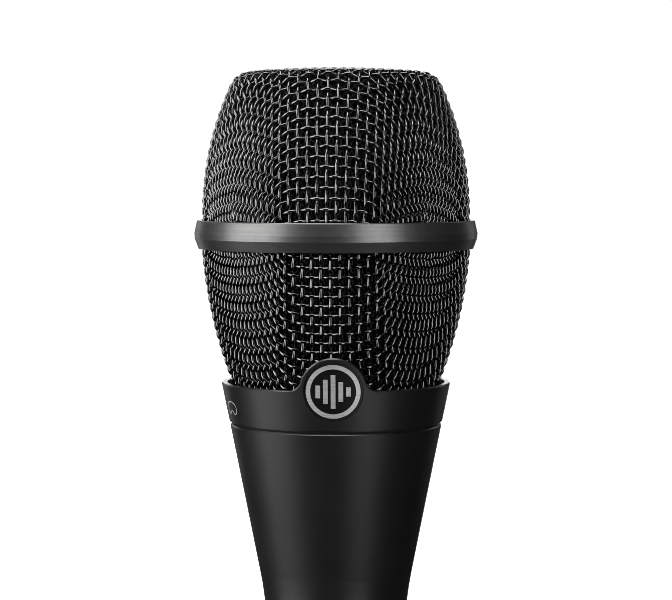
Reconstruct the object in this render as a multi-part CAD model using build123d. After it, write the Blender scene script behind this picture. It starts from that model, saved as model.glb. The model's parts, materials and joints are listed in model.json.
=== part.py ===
"""Handheld dynamic vocal microphone: wire grille, badge collar, cartridge, and a tapered handle with an XLR tail.

Units are millimetres. +Z runs up the microphone's axis, the origin is the centre of the handle's tail face,
and the badge faces -Y. Every piece is a closed solid in its own STEP file.
"""

from build123d import *
from math import cos, hypot, radians, sin, sqrt, tan
import os

# ---------------------------------------------------------------- driving dimensions
TOTAL_LENGTH = 190.0
BAND_RADIUS = 25.0
TAIL_RADIUS = 11.6

# The handle's cone carries on up through the collar as one straight taper.
CONE_SLOPE = 0.2
CONE_RADIUS_AT_SEAM = 18.8
SEAM_Z = 127.25
SEAM_GAP = 0.35
COLLAR_RIM_Z = 134.6

# Wire grille: woven cloth of round wire, two wires thick.
WIRE_CLOTH = 1.0
CROWN_RADIUS = 180.0
CROWN_CORNER = 4.0
UPPER_WALL_CENTRE = (-30.84, 164.17)
UPPER_WALL_RADIUS = 54.54
LOWER_WALL_CENTRE = (-58.15, 164.07)
LOWER_WALL_RADIUS = 82.13
BAND_TOP_Z = 163.2
BAND_BOTTOM_Z = 158.2
GRILLE_SEAT_Z = 131.5
SCREEN = 0.3
FOAM = 2.4

# Screw thread between the grille and the collar, and between the collar and the handle.
THREAD_PITCH = 0.75
THREAD_DEPTH = 0.32
THREAD_CLEARANCE = 0.05
GRILLE_THREAD_RADIUS = 17.6
SPIGOT_THREAD_RADIUS = 16.4
FLANGE_RADIUS = 18.15

BADGE_RADIUS = 4.8
BADGE_RECESS_RADIUS = 5.15
BADGE_RECESS = 0.25
TAB_RADIUS = 5.8
TAB_FILLET = 2.3
RIM_CHAMFER = 0.2
RIM_WALL = 1.05
RIM_INNER_RADIUS = 19.25
TAB_SLOPE = 0.281

CARTRIDGE_RADIUS = 14.5
CUP_RADIUS = 11.0
CARTRIDGE_FLOOR_Z = 141.0
CARTRIDGE_TOP_Z = 162.8

HANDLE_WALL = 2.0
CONNECTOR_BORE_RADIUS = 9.6
SOCKET_RADIUS = 8.05
SOCKET_DEPTH = 14.5
CONTACT_RADIUS = 1.2
CONTACT_CIRCLE = 3.95
LEAD_RADIUS = 0.55
SET_SCREW_Z = 17.5


# ---------------------------------------------------------------- helpers
def cone_radius(z):
    """Outer radius of the handle's and the collar's common cone at a height."""
    return CONE_RADIUS_AT_SEAM + CONE_SLOPE * (z - SEAM_Z)


def turned(*points):
    """A solid of revolution about Z from a closed (radius, height) outline."""
    corners = [(r, 0, z) for r, z in points]
    return revolve(make_face(Polyline(*corners, close=True)), Axis.Z)


def tube(r_in, r_out, z_low, z_high):
    return turned((r_in, z_low), (r_out, z_low), (r_out, z_high), (r_in, z_high))


def disc(radius, z_low, z_high):
    return tube(0, radius, z_low, z_high)


def rod(radius, x, y, z_low, z_high):
    """An upright round bar."""
    return Pos(x, y, z_low) * Cylinder(radius, z_high - z_low, align=(Align.CENTER, Align.CENTER, Align.MIN))


def block(x, y, z, at=(0, 0, 0)):
    """A box that stands on its given point."""
    return Pos(*at) * Box(x, y, z, align=(Align.CENTER, Align.CENTER, Align.MIN))


def around(count, shape, start=0.0):
    """Copies of a shape, evenly turned about Z."""
    return [Rot(0, 0, start + 360 * i / count) * shape for i in range(count)]


def arc_radius(centre, radius, z):
    """Distance from the axis of a circle's outer side at a height."""
    return centre[0] + sqrt(radius**2 - (z - centre[1]) ** 2)


def wall_arc(centre, radius, z_a, z_b):
    """An arc of that circle in the XZ plane, between two heights."""
    heights = (z_a, (z_a + z_b) / 2, z_b)
    return ThreePointArc(*[(arc_radius(centre, radius, z), 0, z) for z in heights])


def threaded_edge(radius, depth, z_from, z_to):
    """Points of a wall at a radius, with one V groove per pitch that ends depth away from it."""
    step = THREAD_PITCH if z_to > z_from else -THREAD_PITCH
    turns = int(abs(z_to - z_from) / THREAD_PITCH)
    start = (z_from + z_to - turns * step) / 2
    points = [(radius, z_from)]
    for i in range(turns):
        z = start + i * step
        points += [(radius, z + 0.12 * step), (radius + depth, z + 0.5 * step), (radius, z + 0.88 * step)]
    return points + [(radius, z_to)]


# ---------------------------------------------------------------- wire grille
def crown_solid(inset, z_low):
    """The upper basket's outer shape, moved in by inset and filled."""
    wall_r = UPPER_WALL_RADIUS - inset
    top_r = CROWN_RADIUS - inset
    top_centre = TOTAL_LENGTH - CROWN_RADIUS
    # Where the wall's circle meets the crown's: both centres and radii are known.
    dx, dz = -UPPER_WALL_CENTRE[0], top_centre - UPPER_WALL_CENTRE[1]
    gap = hypot(dx, dz)
    along = (gap**2 + wall_r**2 - top_r**2) / (2 * gap)
    across = sqrt(wall_r**2 - along**2)
    corner_r = UPPER_WALL_CENTRE[0] + (along * dx - across * dz) / gap
    corner_z = UPPER_WALL_CENTRE[1] + (along * dz + across * dx) / gap
    half_r = corner_r / 2
    top = ThreePointArc(
        (corner_r, 0, corner_z), (half_r, 0, top_centre + sqrt(top_r**2 - half_r**2)), (0, 0, top_centre + top_r)
    )
    wall = wall_arc(UPPER_WALL_CENTRE, wall_r, z_low, corner_z)
    foot = (arc_radius(UPPER_WALL_CENTRE, wall_r, z_low), 0, z_low)
    sides = [Line((0, 0, top_centre + top_r), (0, 0, z_low)), Line((0, 0, z_low), foot)]
    solid = revolve(make_face([wall, top, *sides]), Axis.Z)
    rim = solid.edges().filter_by(GeomType.CIRCLE).filter_by(lambda e: abs(e.center().Z - corner_z) < 0.01)
    return fillet(rim, max(CROWN_CORNER - inset, 0.8))


def bowl_solid(inset, z_low, z_high):
    """The lower basket's outer shape, moved in by inset and filled."""
    radius = LOWER_WALL_RADIUS - inset
    wall = wall_arc(LOWER_WALL_CENTRE, radius, z_low, z_high)
    low = (arc_radius(LOWER_WALL_CENTRE, radius, z_low), 0, z_low)
    high = (arc_radius(LOWER_WALL_CENTRE, radius, z_high), 0, z_high)
    sides = [Line(high, (0, 0, z_high)), Line((0, 0, z_high), (0, 0, z_low)), Line((0, 0, z_low), low)]
    return revolve(make_face([wall, *sides]), Axis.Z)


def crown_layer(inset, thickness, z_low):
    return crown_solid(inset, z_low) - crown_solid(inset + thickness, z_low - 1)


def bowl_layer(inset, thickness, z_low, z_high):
    return bowl_solid(inset, z_low, z_high) - bowl_solid(inset + thickness, z_low - 1, z_high + 1)


def centre_band():
    """Faceted outer band, with an inner web that parts the two baskets."""
    inner = 23.95
    web_inner, web_low, web_high = 22.9, 160.4, 161.0
    return turned(
        (inner, BAND_BOTTOM_Z),
        (BAND_RADIUS - 0.7, BAND_BOTTOM_Z),
        (BAND_RADIUS - 0.05, 160.0),
        (BAND_RADIUS, 161.0),
        (BAND_RADIUS - 0.45, BAND_TOP_Z - 0.15),
        (BAND_RADIUS - 0.6, BAND_TOP_Z),
        (inner, BAND_TOP_Z),
        (inner, web_high),
        (web_inner, web_high),
        (web_inner, web_low),
        (inner, web_low),
    )


def band_hoop():
    """Hoop that clamps both baskets' edges outwards, with a rib against the band's web."""
    return turned(
        (21.9, 158.6), (22.4, 158.6), (22.4, 160.45), (22.85, 160.45), (22.85, 160.95),
        (22.4, 160.95), (22.4, 162.8), (21.9, 162.8),
    )  # fmt: skip


def grille_base_ring():
    """Threaded ring that the lower basket is crimped into; its flange seats on the gasket."""
    foot, floor, top = 127.9, 131.62, 132.5
    thread = threaded_edge(GRILLE_THREAD_RADIUS, -THREAD_DEPTH, foot + 0.3, GRILLE_SEAT_Z)
    return turned(
        (16.0, foot), (GRILLE_THREAD_RADIUS - 0.3, foot), *thread,
        (FLANGE_RADIUS, GRILLE_SEAT_Z), (FLANGE_RADIUS + 0.15, top - 0.2), (FLANGE_RADIUS, top), (17.85, top),
        (17.45, floor), (16.0, floor),
    )  # fmt: skip


def grille_gasket():
    return tube(GRILLE_THREAD_RADIUS + 0.15, FLANGE_RADIUS, GRILLE_SEAT_Z - 0.5, GRILLE_SEAT_Z)


# ---------------------------------------------------------------- collar and badge
def tab_inner_radius(z):
    """Inner radius of the badge tab, which leans out to clear the basket."""
    return RIM_INNER_RADIUS + TAB_SLOPE * (z - COLLAR_RIM_Z)


def collar_outline():
    """Front view of the collar: a flat rim with the badge's round tab rising from it through two fillets."""
    rim = Pos(0, COLLAR_RIM_Z - 10) * Rectangle(60, 20)
    face = rim + Pos(0, COLLAR_RIM_Z) * Circle(TAB_RADIUS)
    corners = [v for v in face.vertices() if abs(abs(v.X) - TAB_RADIUS) < 0.2 and abs(v.Y - COLLAR_RIM_Z) < 0.2]
    return fillet(corners, TAB_FILLET)


def collar():
    """Tapered ring that carries the badge, takes the grille's thread and screws into the handle."""
    bottom, seat = SEAM_Z + SEAM_GAP, GRILLE_SEAT_Z - 0.5
    spigot_low, lip_top, tall = 121.0, 123.0, 142.0
    bore = GRILLE_THREAD_RADIUS + THREAD_CLEARANCE
    ring = turned(
        (cone_radius(seat) - RIM_WALL, seat), (RIM_INNER_RADIUS, COLLAR_RIM_Z),
        (tab_inner_radius(tall), tall), (cone_radius(tall), tall),
        (cone_radius(bottom + 0.15), bottom + 0.15), (cone_radius(bottom) - 0.15, bottom),
        (SPIGOT_THREAD_RADIUS - 0.3, bottom),
        *threaded_edge(SPIGOT_THREAD_RADIUS, -THREAD_DEPTH, bottom - 1.2, spigot_low + 0.3),
        (SPIGOT_THREAD_RADIUS - 0.4, spigot_low), (12.8, spigot_low), (12.8, lip_top), (15.0, lip_top),
        (15.0, 127.7), (bore, 127.7), *threaded_edge(bore, THREAD_DEPTH, 127.9, seat),
    )  # fmt: skip
    ring_part = ring & Pos(0, 0, COLLAR_RIM_Z - 20) * Box(60, 60, 40)
    front = extrude(Plane.XZ * collar_outline(), 30)
    tab_zone = Pos(0, -20, COLLAR_RIM_Z) * Box(16, 20, 18)
    shape = ring_part + (ring & front & tab_zone)
    shape = chamfer(rim_edges(shape), RIM_CHAMFER)
    for x, y in screw_places():
        shape -= rod(0.85, x, y, spigot_low - 1, lip_top + 1)
    return shape - (badge_cylinder(BADGE_RECESS_RADIUS) & cone_shell(BADGE_RECESS, -1.0))


def rim_edges(shape):
    """Edges that run along the cone's surface round the top of the rim and the tab."""
    def on_cone(edge):
        point = edge @ 0.5
        return abs(hypot(point.X, point.Y) - cone_radius(point.Z)) < 0.02 and point.Z > COLLAR_RIM_Z - 0.05

    return shape.edges().filter_by(on_cone)


def badge_cylinder(radius):
    """A bar through the badge's centre, towards -Y."""
    return Pos(0, -21, COLLAR_RIM_Z) * Rot(90, 0, 0) * Cylinder(radius, 8)


def cone_shell(inner_depth, outer_depth):
    """The layer between two depths under the collar's cone, around the badge."""
    low, high = COLLAR_RIM_Z - 8, COLLAR_RIM_Z + 8
    return turned(
        (cone_radius(low) - inner_depth, low), (cone_radius(low) - outer_depth, low),
        (cone_radius(high) - outer_depth, high), (cone_radius(high) - inner_depth, high),
    )  # fmt: skip


def badge_plate():
    """Thin curved disc in the tab's recess."""
    return badge_cylinder(BADGE_RADIUS) & cone_shell(BADGE_RECESS, 0.1)


def badge_emblem():
    """A plain ring and five upright level bars, raised on the badge."""
    layer = cone_shell(0.1, 0.0)
    ring = (badge_cylinder(4.65) - badge_cylinder(3.9)) & layer
    pieces = ring.solids()
    bar_width, pitch = 0.8, 1.3
    for i, height in enumerate((2.2, 4.2, 5.8, 3.4, 1.6)):
        bar = Pos(pitch * (i - 2), -21, COLLAR_RIM_Z) * Box(bar_width, 8, height)
        pieces += (bar & layer).solids()
    return Compound(pieces)


def seam_washer():
    return tube(SPIGOT_THREAD_RADIUS + 0.15, 18.0, SEAM_Z, SEAM_Z + SEAM_GAP)


# ---------------------------------------------------------------- cartridge carrier and shock mounts
def screw_places():
    radius = 13.9
    return [(radius * cos(radians(a)), radius * sin(radians(a))) for a in (90, 210, 330)]


def cartridge_carrier():
    """Flanged neck that the cartridge floats on."""
    shape = turned(
        (11.6, 123.0), (14.9, 123.0), (14.9, 124.6), (12.8, 124.6),
        (12.8, 137.0), (14.2, 137.0), (14.2, 138.0), (11.6, 138.0),
    )  # fmt: skip
    for x, y in screw_places():
        shape -= rod(0.95, x, y, 122, 126)
        shape -= rod(1.1, x, y, 124.1, 126)
    return shape


def carrier_screws():
    """Three screws that hold the carrier to the collar's lip."""
    screws = []
    for x, y in screw_places():
        screw = rod(0.8, x, y, 121.2, 124.2) + rod(1.05, x, y, 124.15, 124.9)
        slot = Pos(x, y, 124.9) * Box(0.35, 2.4, 0.6)
        screws.append(screw - slot)
    return Compound([s.solid() for s in screws])


def shock_mount_upper():
    """Ribbed elastomer ring between the carrier's top and the cartridge's floor."""
    return turned(
        (11.7, 138.0), (14.0, 138.0), (13.4, 138.75), (14.0, 139.5), (13.4, 140.25), (14.0, 141.0),
        (11.7, 141.0), (12.2, 140.25), (11.7, 139.5), (12.2, 138.75),
    )  # fmt: skip


def shock_mount_lower():
    return turned(
        (11.1, 120.2), (12.6, 120.2), (12.3, 121.6), (12.6, 123.0), (11.7, 123.0), (11.5, 121.6),
    )  # fmt: skip


def cup_retainer():
    return tube(CUP_RADIUS, 12.6, 119.0, 120.2)


# ---------------------------------------------------------------- cartridge
def cartridge_frame():
    """Basket that holds the magnet and the diaphragm, with rear ports and a vented shelf."""
    floor, wall_top, shelf_low, shelf_high = CARTRIDGE_FLOOR_Z, 161.6, 151.5, 153.0
    inner = CARTRIDGE_RADIUS - 1.0
    shape = turned(
        (CUP_RADIUS, floor), (CARTRIDGE_RADIUS, floor), (CARTRIDGE_RADIUS, wall_top), (inner, wall_top),
        (inner, shelf_high), (10.5, shelf_high), (10.5, shelf_low), (inner, shelf_low),
        (inner, floor + 1.5), (CUP_RADIUS, floor + 1.5),
    )  # fmt: skip
    port = Pos(CARTRIDGE_RADIUS, 0, 147.0) * Box(4, 5.0, 5.0)
    for cut in around(8, port, 22.5):
        shape -= cut
    for cut in around(8, rod(0.8, 12.0, 0, 150, 155)):
        shape -= cut
    return shape


def front_cap():
    """Perforated cap over the diaphragm."""
    shape = turned(
        (0, 161.6), (CARTRIDGE_RADIUS, 161.6), (CARTRIDGE_RADIUS, CARTRIDGE_TOP_Z - 0.5),
        (CARTRIDGE_RADIUS - 0.5, CARTRIDGE_TOP_Z), (0, CARTRIDGE_TOP_Z),
    )  # fmt: skip
    shape -= rod(1.2, 0, 0, 160, 164)
    for count, radius, hole in ((8, 4.2, 1.0), (14, 7.8, 1.1), (20, 11.4, 1.1)):
        for cut in around(count, rod(hole, radius, 0, 160, 164)):
            shape -= cut
    return shape


def diaphragm():
    """Domed film with one half-roll surround, held by its rim."""
    film, edge, roll_in, roll_out, plane = 0.12, 7.55, 8.3, 12.2, 159.0
    rim = 12.6

    def outline(z):
        dome = ThreePointArc((0, 0, z + 1.8), (edge * 0.55, 0, z + 1.28), (edge, 0, z))
        flat_in = Line((edge, 0, z), (roll_in, 0, z))
        roll = ThreePointArc((roll_in, 0, z), ((roll_in + roll_out) / 2, 0, z + 0.9), (roll_out, 0, z))
        return [dome, flat_in, roll, Line((roll_out, 0, z), (rim, 0, z))]

    ends = [Line((rim, 0, plane), (rim, 0, plane + film)), Line((0, 0, plane + 1.8), (0, 0, plane + 1.8 + film))]
    return revolve(make_face([*outline(plane), *outline(plane + film), *ends]), Axis.Z)


def diaphragm_ring():
    """Ring with a ledge that the film's rim is glued to."""
    outer = CARTRIDGE_RADIUS - 1.05
    return turned((12.25, 157.5), (outer, 157.5), (outer, 161.1), (12.62, 161.1), (12.62, 159.0), (12.25, 159.0))


def coil_former():
    return tube(7.45, 7.57, 152.8, 159.0)


def voice_coil():
    return tube(7.57, 8.1, 153.2, 157.6)


def yoke_cup():
    """Soft-iron cup around the magnet, seated in the frame's shelf by its rim."""
    return turned(
        (0, 144.0), (10.0, 144.0), (10.45, 144.45), (10.45, 153.0), (11.4, 153.0), (11.4, 154.0),
        (10.4, 156.5), (8.6, 156.5), (8.6, 146.5), (0, 146.5),
    )  # fmt: skip


def magnet():
    return disc(6.9, 146.5, 153.5)


def pole_piece():
    return turned((0, 153.5), (7.1, 153.5), (7.1, 156.3), (6.9, 156.5), (0, 156.5))


def resonator_cup():
    """Closed air chamber behind the magnet; its stem passes down through the carrier."""
    foot, top, wall = 118.2, CARTRIDGE_FLOOR_Z + 1.5, 0.8
    return turned(
        (0, foot), (CUP_RADIUS - 1.5, foot), (CUP_RADIUS, foot + 0.8), (CUP_RADIUS, top),
        (CUP_RADIUS - wall, top), (CUP_RADIUS - wall, foot + 1.2), (0, foot + 1.2),
    )  # fmt: skip


def damping_felt():
    return tube(3.0, CUP_RADIUS - 0.1, 142.5, 144.0)


def rear_port_screen():
    return tube(13.2, CARTRIDGE_RADIUS - 1.02, 143.5, 150.5)


def front_screen():
    return disc(13.3, 161.1, 161.6)


def terminal_board():
    """Round board under the air chamber, with two holes for the solder tags."""
    return disc(8.5, 117.0, 118.2) - rod(0.6, 4, 0, 116, 119) - rod(0.6, -4, 0, 116, 119)


def solder_tags():
    """Two tags through the terminal board."""
    tag = rod(0.6, 4, 0, 115.2, 118.15) + rod(1.1, 4, 0, 116.5, 117.0)
    return Compound([tag.solid(), (Rot(0, 0, 180) * tag).solid()])


# ---------------------------------------------------------------- handle
NECK_Z, NECK_BEND_RADIUS = 94.7, 68.0
NECK_RADIUS = cone_radius(NECK_Z)
TAIL_LAND = 14.0


def handle_shell():
    """Hollow tapered handle: thread at its top, connector bore at its tail."""
    top = SEAM_Z
    bore = SPIGOT_THREAD_RADIUS + THREAD_CLEARANCE
    shelf = 120.6
    grip_in = TAIL_RADIUS - HANDLE_WALL
    outer = [
        (TAIL_RADIUS - 0.5, 0), (TAIL_RADIUS, 0.5), (TAIL_RADIUS, TAIL_LAND), (NECK_RADIUS, NECK_Z),
        (cone_radius(top - 0.3), top - 0.3), (cone_radius(top) - 0.3, top),
    ]  # fmt: skip
    thread = threaded_edge(bore, THREAD_DEPTH, top - 1.2, shelf)
    inner = [
        (bore + 0.35, top), (bore + 0.35, top - 1.2), *thread, (cone_radius(shelf) - HANDLE_WALL, shelf),
        (NECK_RADIUS - HANDLE_WALL, NECK_Z), (grip_in, 24.0), (8.8, 23.0), (8.8, 21.5),
        (CONNECTOR_BORE_RADIUS, 21.5), (CONNECTOR_BORE_RADIUS, 0),
    ]  # fmt: skip
    shape = turned(*outer, *inner)
    bends = shape.edges().filter_by(GeomType.CIRCLE).filter_by(lambda e: abs(e.center().Z - NECK_Z) < 0.01)
    shape = fillet(bends, NECK_BEND_RADIUS)
    return shape - set_screw_bar(1.3, CONNECTOR_BORE_RADIUS - 1, TAIL_RADIUS + 1)


def set_screw_bar(radius, y_low, y_high):
    """A round bar along +Y at the connector screw's height."""
    middle = (y_low + y_high) / 2
    return Pos(0, middle, SET_SCREW_Z) * Rot(90, 0, 0) * Cylinder(radius, y_high - y_low)


def connector_set_screw():
    screw = set_screw_bar(1.22, CONNECTOR_BORE_RADIUS + 0.02, TAIL_RADIUS - 0.3)
    return screw - Pos(0, TAIL_RADIUS - 0.3, SET_SCREW_Z) * Box(0.4, 0.9, 4)


# ---------------------------------------------------------------- transformer and wiring
CORE_LOW = 88.0
LEAD_EXIT_Y = 5.7


def transformer_core():
    """Stack of E and I laminations with two windows for the winding."""
    shape = block(14, 9, 16, (0, 0, CORE_LOW))
    for x in (-4, 4):
        shape -= block(3, 20, 11, (x, 0, CORE_LOW + 2.5))
    return shape


def transformer_bobbin():
    """Spool around the core's middle leg."""
    low = CORE_LOW + 2.6
    shape = block(5.9, 10.1, 10.8, (0, 0, low))
    for z in (low, low + 10.0):
        shape += block(10.8, 12.6, 0.8, (0, 0, z))
    return shape - block(5.02, 9.02, 30, (0, 0, CORE_LOW))


def transformer_winding():
    low = CORE_LOW + 3.45
    return block(10.4, 12.2, 9.1, (0, 0, low)) - block(5.95, 10.15, 20, (0, 0, CORE_LOW))


def transformer_cradle():
    """Moulded disc with two side rails that grip the core inside the handle."""
    radius = 10.1
    base = disc(radius, CORE_LOW - 2.2, CORE_LOW)
    rails = (tube(8.4, radius, CORE_LOW - 0.5, CORE_LOW + 14) & Box(60, 7, 400)) - Box(14.1, 9.1, 400)
    return base + rails - rod(1.0, 0, LEAD_EXIT_Y, 80, 92) - rod(1.0, 0, -LEAD_EXIT_Y, 80, 92)


def filter_board():
    """Round board soldered to the connector's contacts."""
    shape = disc(8.6, 24.6, 25.8)
    for x, y in contact_places():
        shape -= rod(CONTACT_RADIUS + 0.05, x, y, 24, 27)
    return shape


def filter_capacitors():
    parts = [block(1.6, 3.0, 1.4, (x, 5.8, 25.8)) for x in (-3.2, 0, 3.2)]
    return Compound([p.solid() for p in parts])


def lead(*points):
    """A round wire along straight runs joined by tangent arcs."""
    runs = [Vector(*b) - Vector(*a) for a, b in zip(points, points[1:])]
    bends = []
    for one, two in zip(runs, runs[1:]):
        turn = radians(one.get_angle(two))
        bends.append(0.45 * min(one.length, two.length) / tan(turn / 2))
    path = FilletPolyline(*points, radius=bends)
    start = Plane(origin=points[0], z_dir=runs[0])
    print("lead bends", [round(b, 1) for b in bends], "length", round(path.length, 1))
    return sweep(start * Circle(LEAD_RADIUS), path=path)


def cartridge_lead(turn):
    """Short flexible wire from a solder tag down to the top flange of the transformer's spool."""
    wire = lead((4, 0, 115.2), (4, 0, 112.2), (4.3, 3.0, 109.0), (3.4, LEAD_EXIT_Y, 105.6), (3.4, LEAD_EXIT_Y, 101.4))
    return Rot(0, 0, turn) * wire


def output_lead(side):
    """Wire from the spool's bottom flange, through the cradle, to the filter board."""
    y = LEAD_EXIT_Y * side
    return lead(
        (0, y, CORE_LOW + 2.6), (0, y, 76), (2.6 * side, y * 0.75, 64), (3.4 * side, y * 0.2, 52),
        (1.2 * side, y * 0.55, 40), (2.2 * side, 3.2 * side, 32), (2.2 * side, 3.2 * side, 25.8),
    )  # fmt: skip


# ---------------------------------------------------------------- XLR connector
def contact_places():
    """Contact 1 and 2 stand across the axis, and contact 3 a quarter turn from both."""
    return [(-CONTACT_CIRCLE, 0), (CONTACT_CIRCLE, 0), (0, -CONTACT_CIRCLE)]


def connector_shell():
    """Metal sleeve of the male XLR insert, with a keyway and a latch hole."""
    shape = tube(SOCKET_RADIUS, CONNECTOR_BORE_RADIUS - 0.05, 0.6, 21.4)
    mouth = shape.edges().filter_by(GeomType.CIRCLE).group_by(Axis.Z)[0].sort_by(lambda e: e.radius)[0]
    shape = chamfer(mouth, 0.4)
    shape -= Pos(0, SOCKET_RADIUS, 7.5) * Box(3.4, 1.4, 14.0)
    return shape - Pos(0, SOCKET_RADIUS + 0.7, 6.0) * Box(2.6, 2.6, 3.4)


def connector_insulator():
    shape = disc(SOCKET_RADIUS - 0.02, SOCKET_DEPTH, 21.0)
    for x, y in contact_places():
        shape -= rod(CONTACT_RADIUS, x, y, 10, 30)
    return shape


def contact(index):
    """Round contact with a domed tip at the socket's mouth and a shank through the filter board."""
    x, y = contact_places()[index]
    tip = 2.4 if index == 0 else 3.2
    bar = rod(CONTACT_RADIUS, x, y, tip, 26.4)
    end = bar.edges().filter_by(GeomType.CIRCLE).group_by(Axis.Z)[0]
    return fillet(end, CONTACT_RADIUS * 0.8)


# ---------------------------------------------------------------- build
PARTS = {
    "upper_mesh": lambda: crown_layer(0, WIRE_CLOTH, 161.05),
    "lower_mesh": lambda: bowl_layer(0, WIRE_CLOTH, 131.65, 160.35),
    "inner_screen_upper": lambda: crown_layer(WIRE_CLOTH + 0.1, SCREEN, BAND_TOP_Z),
    "inner_screen_lower": lambda: bowl_layer(WIRE_CLOTH + 0.1, SCREEN, 133.0, BAND_BOTTOM_Z),
    "foam_liner_upper": lambda: crown_layer(WIRE_CLOTH + 0.6, FOAM, BAND_TOP_Z + 0.2),
    "foam_liner_lower": lambda: bowl_layer(WIRE_CLOTH + 0.6, FOAM, 137.0, BAND_BOTTOM_Z - 0.2),
    "centre_band": centre_band,
    "band_hoop": band_hoop,
    "grille_base_ring": grille_base_ring,
    "grille_gasket": grille_gasket,
    "collar": collar,
    "badge_plate": badge_plate,
    "badge_emblem": badge_emblem,
    "seam_washer": seam_washer,
    "cartridge_carrier": cartridge_carrier,
    "carrier_screws": carrier_screws,
    "shock_mount_upper": shock_mount_upper,
    "shock_mount_lower": shock_mount_lower,
    "cup_retainer": cup_retainer,
    "cartridge_frame": cartridge_frame,
    "front_cap": front_cap,
    "front_screen": front_screen,
    "diaphragm": diaphragm,
    "diaphragm_ring": diaphragm_ring,
    "coil_former": coil_former,
    "voice_coil": voice_coil,
    "yoke_cup": yoke_cup,
    "magnet": magnet,
    "pole_piece": pole_piece,
    "resonator_cup": resonator_cup,
    "damping_felt": damping_felt,
    "rear_port_screen": rear_port_screen,
    "terminal_board": terminal_board,
    "solder_tags": solder_tags,
    "cartridge_lead_hot": lambda: cartridge_lead(0),
    "cartridge_lead_cold": lambda: cartridge_lead(180),
    "handle_shell": handle_shell,
    "transformer_core": transformer_core,
    "transformer_bobbin": transformer_bobbin,
    "transformer_winding": transformer_winding,
    "transformer_cradle": transformer_cradle,
    "output_lead_hot": lambda: output_lead(1),
    "output_lead_cold": lambda: output_lead(-1),
    "filter_board": filter_board,
    "filter_capacitors": filter_capacitors,
    "connector_shell": connector_shell,
    "connector_insulator": connector_insulator,
    "connector_contact_1": lambda: contact(0),
    "connector_contact_2": lambda: contact(1),
    "connector_contact_3": lambda: contact(2),
    "connector_set_screw": connector_set_screw,
}

os.makedirs("parts", exist_ok=True)
for name, make in PARTS.items():
    export_step(make(), f"parts/{name}.step")
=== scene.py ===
"""Looks of a handheld dynamic vocal microphone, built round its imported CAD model.

Lengths here are millimetres, like the design, and MM turns them into Blender's metres.
The badge faces -Y, and the microphone stands on its tail.
"""
import json
from math import atan2, asin, cos, hypot, pi, radians, sin, sqrt

import bpy
import numpy as np
from mathutils import Euler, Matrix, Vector, noise


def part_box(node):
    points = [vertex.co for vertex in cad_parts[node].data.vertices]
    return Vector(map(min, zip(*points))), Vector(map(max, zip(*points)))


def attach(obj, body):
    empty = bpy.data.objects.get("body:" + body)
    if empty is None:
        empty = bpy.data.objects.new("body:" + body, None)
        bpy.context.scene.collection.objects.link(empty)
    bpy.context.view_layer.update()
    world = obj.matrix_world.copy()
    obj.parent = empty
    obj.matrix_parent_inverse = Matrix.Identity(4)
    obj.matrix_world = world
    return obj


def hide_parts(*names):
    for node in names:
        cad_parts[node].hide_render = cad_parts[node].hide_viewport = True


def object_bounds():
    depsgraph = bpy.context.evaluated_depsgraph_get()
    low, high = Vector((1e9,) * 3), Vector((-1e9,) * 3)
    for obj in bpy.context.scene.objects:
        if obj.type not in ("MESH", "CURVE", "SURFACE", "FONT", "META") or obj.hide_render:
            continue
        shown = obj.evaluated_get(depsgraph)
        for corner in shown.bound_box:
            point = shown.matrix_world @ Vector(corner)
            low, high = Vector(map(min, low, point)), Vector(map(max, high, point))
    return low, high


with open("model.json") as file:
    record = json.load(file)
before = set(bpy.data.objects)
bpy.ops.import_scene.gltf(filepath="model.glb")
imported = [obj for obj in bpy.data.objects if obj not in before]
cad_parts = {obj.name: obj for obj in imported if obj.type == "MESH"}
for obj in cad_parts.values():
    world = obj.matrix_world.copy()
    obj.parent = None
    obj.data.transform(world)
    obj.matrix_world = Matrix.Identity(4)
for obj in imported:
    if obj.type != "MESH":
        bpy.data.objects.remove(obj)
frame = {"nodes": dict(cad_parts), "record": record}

MM = 0.001
CAD_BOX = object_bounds()


def low(node):
    """Height of a CAD node's underside."""
    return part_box(node)[0].z / MM


def high(node):
    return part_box(node)[1].z / MM


# ---------------------------------------------------------------- driving dimensions
# Arcs of the grille's section: distance of the centre from the axis, height of the centre, radius.
CROWN = (0.0, high("upper_mesh") - 180.0, 180.0)
UPPER_WALL = (-30.84, 164.17, 54.54)
LOWER_WALL = (-58.15, 164.07, 82.13)
CORNER_RADIUS = 4.0
# The lower basket's cloth is drawn over a closed floor, which is cut away when it is crimped to its ring.
BOWL_FLOOR = 128.6
SECTION_STEP = 0.08

WIRE_RADIUS = 0.27
CLOTH_DEPTH = 2 * WIRE_RADIUS
# The cloth's wires counted from its middle: those whose cells stay nearly square, those up to the basket's
# rounded corner, and how many wires the drawn sides die away over.
STIFF_WIRES, CORNER_WIRES, CORNER_SPREAD = 3, 9, 4.0
# How far the sides of a cell close and stretch when the cloth is drawn, as shares of their length.
CLOSED, STRETCHED = 0.88, 1.05
# Shares of a miss put right in each step: for a side's own length, for an eased cell and for a square one. Then
# how far each step goes past the mean of a crossing's moves.
SIDE_PULL, EASED_PULL, SQUARE_PULL, PUSH = 0.1, 0.3, 0.5, 1.2
UNLIMITED = 99
FINE_WIRE_RADIUS, FINE_SPACING = 0.11, 1.1
SCREEN_DEPTH = 1.34
FOAM_DEPTH = (1.6, 4.0)
FOAM_STEP, FOAM_COLUMNS, FOAM_ROUGHNESS = 0.6, 220, 0.22
# The foam's rings stop short of the axis, where a flat face closes them.
FOAM_POLE = 0.05
OPEN_TOP = 999.0

# The pickup pattern's mark on the collar: its turn round the axis and its height, then its size.
MARK_CENTRE = (radians(-67.8), 130.4)
MARK_WIDTH, MARK_HEIGHT = 4.2, 2.5
MARK_LINE, MARK_THICKNESS = 0.17, 0.02
MARK_NOTCH, MARK_NOTCH_SPREAD = 0.75, 0.4
MARK_LIFT = 0.01

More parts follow.
